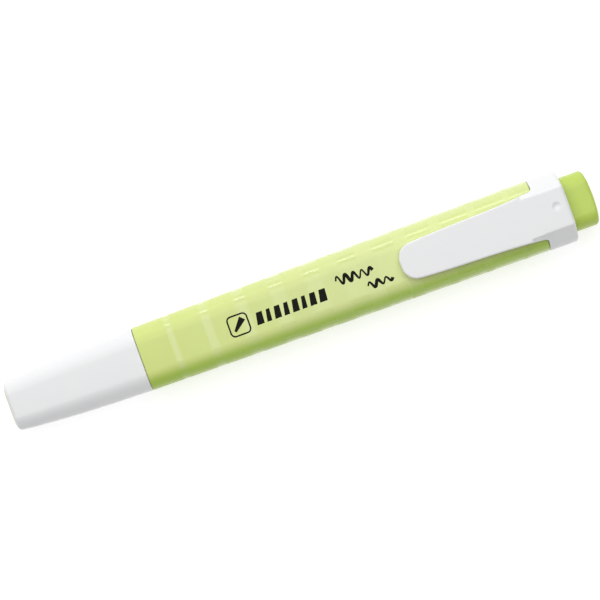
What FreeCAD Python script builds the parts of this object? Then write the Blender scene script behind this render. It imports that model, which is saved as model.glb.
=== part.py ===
import FreeCAD, Part
import math
import os
import Sketcher

# A flat pocket highlighter, built from its moulded pieces.
# +X runs along the pen from the closed end of the cap to the rear plug, +Y runs across it,
# and +Z points up through the clip. The pen lies on its back, and z = 0 is the surface it lies on.
# The origin is under the middle of the pen. Each piece is drawn about the pen's own axis,
# and its Placement lifts it by axis_height.

DIMENSIONS = (
    ("overall_length", 131.0, "closed end of the cap to the end of the rear plug"),
    ("cap_length", 29.8, "cap with its insert"),
    ("ring_length", 6.4, "clip ring at the rear of the barrel"),
    ("post_length", 5.7, "part of the rear plug that stands out of the ring"),
    ("front_half_width", 6.97, "barrel and cap at their joint"),
    ("rear_half_width", 7.8, "barrel at the clip ring"),
    ("thickness_ratio", 0.75, "thickness over width of every flat oval section"),
    ("corner_ratio", 0.56, "corner radius over half width"),
    ("face_ratio", 30.0, "radius of the almost flat broad faces over half width"),
    ("side_ratio", 1.35, "radius of the narrow sides over half width"),
    ("cap_slope", 0.026, "cap narrowing by length"),
    ("cap_curve", 0.0000325, "cap narrowing by length cubed"),
    ("cap_wall", 0.9, "wall of the cap"),
    ("cap_end_radius", 0.7, "rounding of the cap's closed end"),
    ("insert_proud", 0.35, "insert standing out of the cap's end"),
    ("insert_fit", 0.05, "gap between the insert's plate and the cap"),
    ("insert_plate", 3.0, "thickness of the insert's end plate"),
    ("insert_mouth", 16.5, "sealing tube's mouth from the cap's closed end"),
    ("seal_outer_radius", 3.7, "sealing tube, outside at its mouth"),
    ("seal_inner_radius", 3.05, "sealing tube, bore round the nose"),
    ("seal_end_outer_radius", 3.25, "sealing tube, outside at its closed end"),
    ("seal_end_inner_radius", 2.75, "sealing tube, bore over the nib's tip"),
    ("seal_nose_depth", 6.0, "depth of the full bore of the sealing tube"),
    ("seal_step", 0.4, "step where the sealing tube narrows"),
    ("barrel_wall", 1.1, "wall of the barrel"),
    ("rib_thick", 0.8, "ribs that centre the ink reservoir"),
    ("rib_height", 2.2, "rib from the axis"),
    ("rib_inner", 3.5, "rib's edge nearest the reservoir"),
    ("rib_outer", 6.5, "rib's root inside the barrel's wall"),
    ("rib_margin", 14.0, "ribs start and end this far from the barrel's ends"),
    ("neck_inset", 0.98, "neck of the nose under the cap's outer surface"),
    ("neck_length", 9.5, "flat oval neck under the cap"),
    ("bead_height", 0.04, "holding bead on the neck"),
    ("bead_width", 0.8, "holding bead along the pen"),
    ("bead_station", 6.5, "holding bead from the barrel's front"),
    ("skirt_length", 8.0, "nose inside the barrel"),
    ("chamber_inset", 2.1, "chamber in the nose under the outer surface"),
    ("chamber_depth", 15.0, "chamber from the nose's rear end"),
    ("shoulder_radius", 4.0, "cone of the nose where it meets the neck"),
    ("shoulder_length", 3.0, "cone of the nose"),
    ("nose_root", 3.0, "cone's root inside the neck"),
    ("nose_radius", 3.0, "round nose that grips the nib"),
    ("nose_length", 6.0, "round nose"),
    ("nib_width", 4.2, "chisel nib, across"),
    ("nib_thick", 2.8, "chisel nib, thickness"),
    ("nib_reach", 6.0, "nib in front of the nose"),
    ("nib_grip", 8.5, "full section of the nib inside the nose"),
    ("nib_slant", 3.4, "length of the slanted writing edge"),
    ("nib_bevel", 0.9, "bevel that thins the nib towards its writing edge"),
    ("nib_bevel_length", 4.5, "length of that bevel"),
    ("tail_width", 3.0, "tail of the nib, across"),
    ("tail_thick", 2.2, "tail of the nib, thickness"),
    ("tail_depth", 5.5, "tail of the nib inside the reservoir"),
    ("reservoir_gap", 0.5, "reservoir behind the nose's skirt"),
    ("reservoir_length", 71.5, "ink reservoir"),
    ("core_radius", 3.7, "fibre core of the reservoir"),
    ("film_radius", 3.85, "outside of the film round the core"),
    ("ring_half_width", 7.88, "clip ring"),
    ("ring_end_radius", 0.8, "rounding of the ring's rear edge"),
    ("clip_rise", 2.4, "clip's outer face above the barrel"),
    ("saddle_half_width", 4.25, "flat top of the ring"),
    ("saddle_foot", 2.6, "foot of the ring's sloped facets above the axis"),
    ("saddle_foot_inset", 0.42, "foot of the facets inside the ring's side"),
    ("ring_skirt", 5.0, "ring inside the barrel"),
    ("skirt_wall", 1.0, "wall of the ring's skirt"),
    ("mouth_depth", 1.3, "recess in the ring round the rear plug"),
    ("mouth_inset", 0.8, "recess under the section at the cap's mouth"),
    ("post_inset", 0.95, "rear post under the section at the cap's mouth"),
    ("post_bulge", 0.52, "bulge of the rear post's end"),
    ("post_end_radius", 0.7, "rounding of the rear post's end"),
    ("spigot_length", 8.5, "rear plug inside the ring"),
    ("spigot_wall", 1.0, "wall of the rear plug's spigot"),
    ("pin_radius", 1.8, "pin that holds the reservoir forward"),
    ("clip_length", 31.4, "clip arm from the ring to its tip"),
    ("clip_gap", 0.05, "split between the clip arm and the ring"),
    ("clip_thick", 1.5, "clip arm at the ring"),
    ("clip_tip_thick", 1.25, "clip arm near its tip"),
    ("clip_drop", 0.5, "fall of the clip's outer face to its tip"),
    ("clip_root_half_width", 5.1, "clip arm near the ring"),
    ("clip_mid_half_width", 4.52, "clip arm, part way"),
    ("clip_tip_half_width", 3.6, "clip arm at its tip, before the corners are rounded"),
    ("clip_tip_radius", 3.3, "corners of the clip's rounded tip"),
    ("clip_mid_station", 13.4, "part-way width from the ring"),
    ("clip_edge_radius", 0.35, "rounding of the clip's outer edges"),
    ("facet_reach", 3.2, "the ring's facets carried on along the clip arm"),
    ("bead_centre", 4.0, "bead under the clip from its tip"),
    ("bead_radius", 1.6, "bead under the clip"),
    ("bead_drop", 0.6, "bead below the clip's underside"),
)

doc = FreeCAD.newDocument("Highlighter")
sheet = doc.addObject("Spreadsheet::Sheet", "Dimensions")
for row, (alias, value, note) in enumerate(DIMENSIONS, start=1):
    sheet.set(f"A{row}", note)
    sheet.set(f"B{row}", str(value))
    sheet.setAlias(f"B{row}", alias)
doc.recompute()


def cell(alias):
    """Name of a dimension inside an expression."""
    return f"Dimensions.{alias}"


def number(expression):
    """Value of an expression now, in millimetres."""
    return float(sheet.evalExpression(expression))


# Stations along the pen, as expressions in the sheet's dimensions.
CAP_END = f"-{cell('overall_length')} / 2"
JOINT = f"({CAP_END} + {cell('cap_length')})"
REAR_END = f"{cell('overall_length')} / 2"
RING_END = f"({REAR_END} - {cell('post_length')})"
RING_FRONT = f"({RING_END} - {cell('ring_length')})"
AXIS_HEIGHT = f"{cell('rear_half_width')} * {cell('thickness_ratio')}"
NOSE_SHOULDER = f"({JOINT} - {cell('neck_length')})"
NOSE_TUBE = f"({NOSE_SHOULDER} - {cell('shoulder_length')})"
NOSE_END = f"({NOSE_TUBE} - {cell('nose_length')})"
SKIRT_END = f"({JOINT} + {cell('skirt_length')})"
RESERVOIR_FRONT = f"({SKIRT_END} + {cell('reservoir_gap')})"
RESERVOIR_REAR = f"({RESERVOIR_FRONT} + {cell('reservoir_length')})"
CLIP_TOP = f"(2 * {AXIS_HEIGHT} + {cell('clip_rise')})"


def barrel_half_width(station):
    """Half width of the barrel at a station: a straight taper from joint to ring."""
    growth = f"({cell('rear_half_width')} - {cell('front_half_width')})"
    return f"({cell('front_half_width')} + {growth} * ({station} - {JOINT}) / ({RING_FRONT} - {JOINT}))"


def cap_half_width(reach):
    """Half width of the cap at a distance in front of the joint: it narrows ever faster."""
    return f"({cell('front_half_width')} - {cell('cap_slope')} * {reach} - {cell('cap_curve')} * ({reach})^3)"


def new_body(label):
    """A moulded piece, lifted to the height of the pen's axis."""
    body = doc.addObject("PartDesign::Body", label)
    body.Label = label
    body.setExpression("Placement.Base.z", AXIS_HEIGHT)
    return body


def plane_sketch(body, name, role, offset):
    """An empty sketch on one of the body's own origin planes, moved along its normal."""
    sketch = body.newObject("Sketcher::SketchObject", name)
    plane = [feature for feature in body.Origin.OriginFeatures if feature.Role == role][0]
    sketch.AttachmentSupport = (plane, [""])
    sketch.MapMode = "FlatFace"
    sketch.setExpression("AttachmentOffset.Base.z", offset)
    sketch.AttachmentOffset.Base.z = number(offset)
    return sketch


def drive(sketch, kind, arguments, name, expression):
    """A named constraint whose value follows an expression."""
    index = sketch.addConstraint(Sketcher.Constraint(kind, *arguments, number(expression)))
    sketch.renameConstraint(index, name)
    sketch.setExpression(f"Constraints.{name}", expression)


def oval_centres(half_width, inset):
    """Centres and radii of the flat oval: side, corner and face arcs, in the first quadrant.

    The corner arc lies inside both the side arc and the face arc and touches each,
    so its centre is where two circles about their centres cross.
    """
    side = number(cell("side_ratio")) * half_width
    face = number(cell("face_ratio")) * half_width
    corner = number(cell("corner_ratio")) * half_width
    side_y = half_width - side
    face_z = number(cell("thickness_ratio")) * half_width - face
    to_side = side - corner
    to_face = face - corner
    apart = math.hypot(side_y, face_z)
    along = (to_side ** 2 - to_face ** 2 + apart ** 2) / (2 * apart)
    off = math.sqrt(to_side ** 2 - along ** 2)
    unit_y = -side_y / apart
    unit_z = face_z / apart
    corner_y = side_y + along * unit_y - off * unit_z
    corner_z = along * unit_z + off * unit_y
    return side_y, face_z, corner_y, corner_z, side - inset, face - inset, corner - inset


def oval_sketch(body, name, station, half_width, inset="0"):
    """The pen's flat oval section: four crowned sides joined by four tangent corner arcs."""
    sketch = plane_sketch(body, name, "YZ_Plane", station)
    centres = oval_centres(number(half_width), number(inset))
    side_y, face_z, corner_y, corner_z, side, face, corner = centres
    corner_from = math.atan2(corner_z, corner_y - side_y)
    corner_to = math.atan2(corner_z - face_z, corner_y)
    normal = FreeCAD.Vector(0, 0, 1)
    half = math.pi / 2
    arcs = (
        (side_y, 0, side, -corner_from, corner_from),
        (corner_y, corner_z, corner, corner_from, corner_to),
        (0, face_z, face, corner_to, 2 * half - corner_to),
        (-corner_y, corner_z, corner, 2 * half - corner_to, 2 * half - corner_from),
        (-side_y, 0, side, 2 * half - corner_from, 2 * half + corner_from),
        (-corner_y, -corner_z, corner, 2 * half + corner_from, 2 * half + corner_to),
        (0, -face_z, face, 2 * half + corner_to, 4 * half - corner_to),
        (corner_y, -corner_z, corner, 4 * half - corner_to, 4 * half - corner_from),
    )
    for centre_y, centre_z, radius, start, end in arcs:
        circle = Part.Circle(FreeCAD.Vector(centre_y, centre_z, 0), normal, radius)
        sketch.addGeometry(Part.ArcOfCircle(circle, start, end))
    for index in range(8):
        sketch.addConstraint(Sketcher.Constraint("Tangent", index, 2, (index + 1) % 8, 1))
    for index, axis in ((0, -1), (4, -1), (2, -2), (6, -2)):
        sketch.addConstraint(Sketcher.Constraint("PointOnObject", index, 3, axis))
    for first, second in ((0, 4), (2, 6), (1, 3), (1, 5), (1, 7)):
        sketch.addConstraint(Sketcher.Constraint("Equal", first, second))
    drive(sketch, "Radius", (0,), "side_radius", f"{cell('side_ratio')} * {half_width} - {inset}")
    drive(sketch, "Radius", (2,), "face_radius", f"{cell('face_ratio')} * {half_width} - {inset}")
    drive(sketch, "Radius", (1,), "corner_radius", f"{cell('corner_ratio')} * {half_width} - {inset}")
    side_offset = f"({cell('side_ratio')} - 1) * {half_width}"
    face_offset = f"({cell('face_ratio')} - {cell('thickness_ratio')}) * {half_width}"
    drive(sketch, "DistanceX", (0, 3, -1, 1), "right_centre", side_offset)
    drive(sketch, "DistanceX", (-1, 1, 4, 3), "left_centre", side_offset)
    drive(sketch, "DistanceY", (2, 3, -1, 1), "top_centre", face_offset)
    drive(sketch, "DistanceY", (-1, 1, 6, 3), "bottom_centre", face_offset)
    return sketch


def polygon_sketch(body, name, role, offset, points):
    """Straight-sided outline whose corners sit at expressions, on one of the body's planes."""
    sketch = plane_sketch(body, name, role, offset)
    add_polygon(sketch, points)
    return sketch


def add_polygon(sketch, points, start=0):
    """Adds a closed outline to a sketch and ties each corner's two coordinates to the sheet."""
    corners = [FreeCAD.Vector(number(across), number(along), 0) for across, along in points]
    count = len(corners)
    for index in range(count):
        sketch.addGeometry(Part.LineSegment(corners[index], corners[(index + 1) % count]))
    for index in range(count):
        following = start + (index + 1) % count
        sketch.addConstraint(Sketcher.Constraint("Coincident", start + index, 2, following, 1))
    for index, (across, along) in enumerate(points):
        line = start + index
        drive(sketch, "DistanceX", (-1, 1, line, 1), f"across_{line}", across)
        drive(sketch, "DistanceY", (-1, 1, line, 1), f"along_{line}", along)


def circle_sketch(body, name, station, radii):
    """Circles about the pen's axis at a station."""
    sketch = plane_sketch(body, name, "YZ_Plane", station)
    for index, radius in enumerate(radii):
        centre = FreeCAD.Vector(0, 0, 0)
        sketch.addGeometry(Part.Circle(centre, FreeCAD.Vector(0, 0, 1), number(radius)))
        sketch.addConstraint(Sketcher.Constraint("Coincident", index, 3, -1, 1))
        drive(sketch, "Radius", (index,), f"radius_{index}", radius)
    return sketch


def box_points(half_width, half_height):
    """Corners of a rectangle centred on the sketch's origin."""
    return (
        (f"-{half_width}", f"-{half_height}"),
        (half_width, f"-{half_height}"),
        (half_width, half_height),
        (f"-{half_width}", half_height),
    )


def loft(body, kind, name, sections, ruled):
    """A loft through section sketches."""
    feature = body.newObject(f"PartDesign::{kind}", name)
    feature.Profile = sections[0]
    feature.Sections = sections[1:]
    feature.Ruled = ruled
    return feature


def extrude(body, kind, name, sketch, length, reverse=False):
    """A Pad or Pocket of a sketch over a length; reverse turns it along the other normal."""
    feature = body.newObject(f"PartDesign::{kind}", name)
    feature.Profile = sketch
    feature.setExpression("Length", length)
    feature.Reversed = reverse
    return feature


def through(body, kind, name, sketch):
    """A Pocket that runs through the whole body on both sides of its sketch."""
    feature = body.newObject(f"PartDesign::{kind}", name)
    feature.Profile = sketch
    feature.Type = "ThroughAll"
    feature.Midplane = True
    return feature


def revolve(body, kind, name, sketch):
    """A full turn of a sketch about the pen's axis."""
    feature = body.newObject(f"PartDesign::{kind}", name)
    feature.Profile = sketch
    axis = [item for item in body.Origin.OriginFeatures if item.Role == "X_Axis"][0]
    feature.ReferenceAxis = (axis, [""])
    feature.Angle = 360
    return feature


def round_edges(body, name, radius, wanted):
    """A fillet on the edges that a test on the edge's middle and box picks out."""
    doc.recompute()
    base = body.Tip
    names = [f"Edge{index}" for index, edge in enumerate(base.Shape.Edges, start=1) if wanted(edge)]
    feature = body.newObject("PartDesign::Fillet", name)
    feature.Base = (base, names)
    feature.setExpression("Radius", radius)
    return feature


def lies_across(shape, station, reach=0.02):
    """True for an edge or face that lies in the plane across the pen at a station."""
    box = shape.BoundBox
    return abs(box.XMin - station) < reach and abs(box.XMax - station) < reach


def make_cap_shell():
    """Cap: a thin tube that narrows to its end, open at both ends until the insert is pressed in."""
    body = new_body("cap_shell")
    length = f"({cell('cap_length')} - {cell('insert_proud')})"
    shares = (0, 0.33, 0.62, 0.84, 1)
    outer = []
    inner = []
    for index, share in enumerate(shares):
        reach = f"({length} * {share})"
        station = f"{JOINT} - {reach}"
        width = cap_half_width(reach)
        outer.append(oval_sketch(body, f"cap_outside_{index}", station, width))
        inner.append(oval_sketch(body, f"cap_inside_{index}", station, width, cell("cap_wall")))
    loft(body, "AdditiveLoft", "cap_skin", outer, False)
    loft(body, "SubtractiveLoft", "cap_hollow", inner, False)
    doc.recompute()
    rim = end_rim(body.Tip.Shape, number(f"{JOINT} - {length}"))

    def on_rim(edge):
        return any(edge.isSame(other) for other in rim)

    round_edges(body, "cap_end_rounding", cell("cap_end_radius"), on_rim)
    return body


def end_rim(shape, station):
    """Edges round the outside of the flat end face at a station."""
    for face in shape.Faces:
        if lies_across(face, station):
            return face.OuterWire.Edges
    raise RuntimeError(f"no end face at {station}")


def make_cap_insert():
    """Coloured insert: an oval plate that closes the cap, and a tube that seals round the nose."""
    body = new_body("cap_insert")
    end_width = cap_half_width(f"({cell('cap_length')} - {cell('insert_proud')})")
    inset = f"({cell('cap_wall')} + {cell('insert_fit')})"
    end_plate = oval_sketch(body, "plate_outline", CAP_END, end_width, inset)
    extrude(body, "Pad", "plate", end_plate, cell("insert_plate"))
    plate_face = f"({CAP_END} + {cell('insert_plate')})"
    mouth = f"({CAP_END} + {cell('insert_mouth')})"
    full_bore = f"({mouth} - {cell('seal_nose_depth')})"
    wall = polygon_sketch(body, "tube_wall", "XZ_Plane", "0", (
        (plate_face, "0"),
        (mouth, "0"),
        (mouth, cell("seal_outer_radius")),
        (full_bore, cell("seal_outer_radius")),
        (plate_face, cell("seal_end_outer_radius")),
    ))
    revolve(body, "Revolution", "tube", wall)
    bore = polygon_sketch(body, "tube_bore", "XZ_Plane", "0", (
        (plate_face, "0"),
        (mouth, "0"),
        (mouth, cell("seal_inner_radius")),
        (full_bore, cell("seal_inner_radius")),
        (f"({full_bore} - {cell('seal_step')})", cell("seal_end_inner_radius")),
        (plate_face, cell("seal_end_inner_radius")),
    ))
    revolve(body, "Groove", "tube_hollow", bore)
    return body


def make_barrel():
    """Barrel: a flat oval tube with a straight taper, and ribs that centre the round reservoir."""
    body = new_body("barrel")
    stations = (JOINT, RING_FRONT)
    outer = []
    inner = []
    for index, station in enumerate(stations):
        width = barrel_half_width(station)
        outer.append(oval_sketch(body, f"barrel_outside_{index}", station, width))
        inner.append(oval_sketch(body, f"barrel_inside_{index}", station, width, cell("barrel_wall")))
    loft(body, "AdditiveLoft", "barrel_skin", outer, True)
    loft(body, "SubtractiveLoft", "barrel_hollow", inner, True)
    rib_start = f"({JOINT} + {cell('rib_margin')})"
    rib_length = f"({RING_FRONT} - {JOINT} - 2 * {cell('rib_margin')})"
    ribs = plane_sketch(body, "rib_outlines", "YZ_Plane", rib_start)
    low = f"({cell('rib_height')} - {cell('rib_thick')} / 2)"
    high = f"({cell('rib_height')} + {cell('rib_thick')} / 2)"
    inner_edge = cell("rib_inner")
    outer_edge = cell("rib_outer")
    for index, (side, level) in enumerate(((1, 1), (-1, 1), (1, -1), (-1, -1))):
        add_polygon(ribs, (
            (f"{side} * {inner_edge}", f"{level} * {low}"),
            (f"{side} * {outer_edge}", f"{level} * {low}"),
            (f"{side} * {outer_edge}", f"{level} * {high}"),
            (f"{side} * {inner_edge}", f"{level} * {high}"),
        ), 4 * index)
    extrude(body, "Pad", "ribs", ribs, rib_length)
    return body


def make_nib_holder():
    """Nose: a skirt pressed into the barrel, a neck the cap clicks over, and a round tube for the nib."""
    body = new_body("nib_holder")
    skirt = [
        oval_sketch(body, "skirt_front", JOINT, barrel_half_width(JOINT), cell("barrel_wall")),
        oval_sketch(body, "skirt_rear", SKIRT_END, barrel_half_width(SKIRT_END), cell("barrel_wall")),
    ]
    loft(body, "AdditiveLoft", "skirt", skirt, True)
    neck = []
    for index, share in enumerate((0, 0.5, 1)):
        reach = f"({cell('neck_length')} * {share})"
        width = cap_half_width(reach)
        neck.append(oval_sketch(body, f"neck_{index}", f"{JOINT} - {reach}", width, cell("neck_inset")))
    loft(body, "AdditiveLoft", "neck", neck, False)
    bead_width = cap_half_width(f"({cell('bead_station')} + {cell('bead_width')})")
    bead_inset = f"({cell('neck_inset')} - {cell('bead_height')})"
    bead = oval_sketch(body, "bead_outline", f"{JOINT} - {cell('bead_station')}", bead_width, bead_inset)
    extrude(body, "Pad", "holding_bead", bead, cell("bead_width"), reverse=True)
    cone = polygon_sketch(body, "nose_profile", "XZ_Plane", "0", (
        (f"({NOSE_SHOULDER} + {cell('nose_root')})", "0"),
        (f"({NOSE_SHOULDER} + {cell('nose_root')})", cell("shoulder_radius")),
        (NOSE_SHOULDER, cell("shoulder_radius")),
        (NOSE_TUBE, cell("nose_radius")),
        (NOSE_END, cell("nose_radius")),
        (NOSE_END, "0"),
    ))
    revolve(body, "Revolution", "nose", cone)
    chamber = oval_sketch(body, "chamber_outline", SKIRT_END, barrel_half_width(JOINT), cell("chamber_inset"))
    extrude(body, "Pocket", "chamber", chamber, cell("chamber_depth"))
    grip_points = box_points(f"{cell('nib_width')} / 2", f"{cell('nib_thick')} / 2")
    grip = polygon_sketch(body, "grip_outline", "YZ_Plane", NOSE_END, grip_points)
    extrude(body, "Pocket", "nib_grip", grip, cell("nib_grip"), reverse=True)
    tail_points = box_points(f"{cell('tail_width')} / 2", f"{cell('tail_thick')} / 2")
    tail = polygon_sketch(body, "tail_outline", "YZ_Plane", NOSE_END, tail_points)
    extrude(body, "Pocket", "tail_hole", tail, f"{SKIRT_END} - {NOSE_END}", reverse=True)
    return body


def make_nib():
    """Nib: a bar of pressed fibre with a slanted chisel tip, and a thinner tail that draws the ink."""
    body = new_body("nib")
    tip = f"({NOSE_END} - {cell('nib_reach')})"
    bar_points = box_points(f"{cell('nib_width')} / 2", f"{cell('nib_thick')} / 2")
    bar = polygon_sketch(body, "bar_outline", "YZ_Plane", tip, bar_points)
    extrude(body, "Pad", "bar", bar, f"{cell('nib_reach')} + {cell('nib_grip')}")
    tail_points = box_points(f"{cell('tail_width')} / 2", f"{cell('tail_thick')} / 2")
    tail = polygon_sketch(body, "tail_outline", "YZ_Plane", tip, tail_points)
    extrude(body, "Pad", "tail", tail, f"{RESERVOIR_FRONT} + {cell('tail_depth')} - {tip}")
    side = f"{cell('nib_width')} / 2"
    slant = polygon_sketch(body, "slant_outline", "XY_Plane", "0", (
        (tip, f"{side}"),
        (f"({tip} + {cell('nib_slant')})", f"-{side}"),
        (tip, f"-{side}"),
    ))
    through(body, "Pocket", "slanted_edge", slant)
    half = f"{cell('nib_thick')} / 2"
    for name, sign in (("upper", ""), ("lower", "-")):
        bevel = polygon_sketch(body, f"{name}_bevel_outline", "XZ_Plane", "0", (
            (tip, f"{sign}{half}"),
            (f"({tip} + {cell('nib_bevel_length')})", f"{sign}{half}"),
            (tip, f"{sign}({half} - {cell('nib_bevel')})"),
        ))
        through(body, "Pocket", f"{name}_bevel", bevel)
    return body


def make_reservoir_core():
    """Ink reservoir: a round rod of bonded fibre, with a slot where the nib's tail goes in."""
    body = new_body("reservoir_core")
    rod = circle_sketch(body, "rod_outline", RESERVOIR_FRONT, (cell("core_radius"),))
    extrude(body, "Pad", "rod", rod, cell("reservoir_length"))
    slot_points = box_points(f"{cell('tail_width')} / 2", f"{cell('tail_thick')} / 2")
    slot = polygon_sketch(body, "slot_outline", "YZ_Plane", RESERVOIR_FRONT, slot_points)
    extrude(body, "Pocket", "tail_slot", slot, cell("tail_depth"), reverse=True)
    return body


def make_reservoir_film():
    """Film wrapped round the fibre core."""
    body = new_body("reservoir_film")
    radii = (cell("film_radius"), cell("core_radius"))
    wrap = circle_sketch(body, "wrap_outline", RESERVOIR_FRONT, radii)
    extrude(body, "Pad", "wrap", wrap, cell("reservoir_length"))
    return body


def make_clip_ring():
    """Ring that closes the barrel: flush with it all round, with a flat-topped saddle for the clip."""
    body = new_body("clip_ring")
    ring = oval_sketch(body, "ring_outline", RING_FRONT, cell("ring_half_width"))
    extrude(body, "Pad", "ring", ring, cell("ring_length"))
    top = f"({CLIP_TOP} - {AXIS_HEIGHT})"
    foot = f"({cell('ring_half_width')} - {cell('saddle_foot_inset')})"
    saddle = polygon_sketch(body, "saddle_outline", "YZ_Plane", RING_FRONT, (
        (cell("saddle_half_width"), top),
        (f"-{cell('saddle_half_width')}", top),
        (f"-{foot}", cell("saddle_foot")),
        (f"-{foot}", "0"),
        (foot, "0"),
        (foot, cell("saddle_foot")),
    ))
    extrude(body, "Pad", "saddle", saddle, cell("ring_length"))
    middle = f"({RING_FRONT} + {cell('ring_length')} / 2)"
    plane = f"-({AXIS_HEIGHT})"
    below = f"-({AXIS_HEIGHT} + 1)"
    rest = polygon_sketch(body, "rest_outline", "YZ_Plane", middle, (
        (f"-{cell('ring_half_width')}", plane),
        (f"-{cell('ring_half_width')}", below),
        (cell("ring_half_width"), below),
        (cell("ring_half_width"), plane),
    ))
    through(body, "Pocket", "rest_face", rest)
    end = number(RING_END)
    round_edges(body, "rear_rounding", cell("ring_end_radius"), lambda edge: lies_across(edge, end))
    inner_end = f"({RING_FRONT} - {cell('ring_skirt')})"
    skirt = [
        oval_sketch(body, "skirt_front", inner_end, barrel_half_width(inner_end), cell("barrel_wall")),
        oval_sketch(body, "skirt_rear", RING_FRONT, barrel_half_width(RING_FRONT), cell("barrel_wall")),
    ]
    loft(body, "AdditiveLoft", "skirt", skirt, True)
    bore_inset = f"({cell('barrel_wall')} + {cell('skirt_wall')})"
    bore = oval_sketch(body, "bore_outline", middle, barrel_half_width(inner_end), bore_inset)
    through(body, "Pocket", "bore", bore)
    mouth = oval_sketch(body, "mouth_outline", RING_END, cell("front_half_width"), cell("mouth_inset"))
    extrude(body, "Pocket", "mouth", mouth, cell("mouth_depth"))
    return body


def make_rear_plug():
    """Rear plug in the ink's colour: a post with a bulged end, on a hollow spigot pressed into the ring."""
    body = new_body("rear_plug")
    shoulder = f"({RING_END} - {cell('mouth_depth')})"
    post = oval_sketch(body, "post_outline", shoulder, cell("front_half_width"), cell("post_inset"))
    extrude(body, "Pad", "post", post, f"{cell('post_length')} + {cell('mouth_depth')}")
    post_half = f"({cell('front_half_width')} - {cell('post_inset')})"
    shape_bulge(body, post_half)
    end = number(REAR_END) - number(cell("post_bulge"))

    def end_edge(edge):
        return edge.BoundBox.XMin > end - 0.1

    round_edges(body, "end_rounding", cell("post_end_radius"), end_edge)
    inner_end = f"({RING_FRONT} - {cell('ring_skirt')})"
    bore_inset = f"({cell('barrel_wall')} + {cell('skirt_wall')})"
    spigot_end = f"({shoulder} - {cell('spigot_length')})"
    width = barrel_half_width(inner_end)
    spigot = oval_sketch(body, "spigot_outline", spigot_end, width, bore_inset)
    extrude(body, "Pad", "spigot", spigot, cell("spigot_length"))
    hollow_inset = f"({bore_inset} + {cell('spigot_wall')})"
    hollow = oval_sketch(body, "hollow_outline", spigot_end, width, hollow_inset)
    extrude(body, "Pocket", "hollow", hollow, cell("spigot_length"), reverse=True)
    pin = circle_sketch(body, "pin_outline", RESERVOIR_REAR, (cell("pin_radius"),))
    extrude(body, "Pad", "pin", pin, f"{shoulder} - {RESERVOIR_REAR}")
    return body


def shape_bulge(body, half_width):
    """Cuts the post's end to an arc seen from above, highest in the middle."""
    sketch = plane_sketch(body, "bulge_outline", "XY_Plane", "0")
    end = number(REAR_END)
    edge_x = end - number(cell("post_bulge"))
    reach = number(half_width)
    beyond = end + 1
    corners = (
        FreeCAD.Vector(edge_x, -reach, 0),
        FreeCAD.Vector(end, 0, 0),
        FreeCAD.Vector(edge_x, reach, 0),
        FreeCAD.Vector(beyond, reach, 0),
        FreeCAD.Vector(beyond, -reach, 0),
    )
    lower, crown, upper, outer_upper, outer_lower = corners
    sketch.addGeometry(Part.Arc(lower, crown, upper))
    sketch.addGeometry(Part.LineSegment(upper, outer_upper))
    sketch.addGeometry(Part.LineSegment(outer_upper, outer_lower))
    sketch.addGeometry(Part.LineSegment(outer_lower, lower))
    sketch.addConstraint(Sketcher.Constraint("Coincident", 0, 2, 1, 1))
    sketch.addConstraint(Sketcher.Constraint("Coincident", 1, 2, 2, 1))
    sketch.addConstraint(Sketcher.Constraint("Coincident", 2, 2, 3, 1))
    sketch.addConstraint(Sketcher.Constraint("Coincident", 3, 2, 0, 1))
    bulge = cell("post_bulge")
    radius = f"(({half_width})^2 + {bulge}^2) / (2 * {bulge})"
    drive(sketch, "DistanceX", (-1, 1, 0, 1), "lower_x", f"{REAR_END} - {bulge}")
    drive(sketch, "DistanceY", (0, 1, -1, 1), "lower_y", half_width)
    drive(sketch, "DistanceX", (-1, 1, 0, 2), "upper_x", f"{REAR_END} - {bulge}")
    drive(sketch, "DistanceY", (-1, 1, 0, 2), "upper_y", half_width)
    drive(sketch, "Radius", (0,), "bulge_radius", radius)
    drive(sketch, "DistanceX", (-1, 1, 1, 2), "beyond_upper", f"{REAR_END} + 1")
    drive(sketch, "DistanceX", (-1, 1, 2, 2), "beyond_lower", f"{REAR_END} + 1")
    drive(sketch, "DistanceY", (-1, 1, 1, 2), "outer_upper_y", half_width)
    drive(sketch, "DistanceY", (2, 2, -1, 1), "outer_lower_y", half_width)
    through(body, "Pocket", "bulge", sketch)


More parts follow.
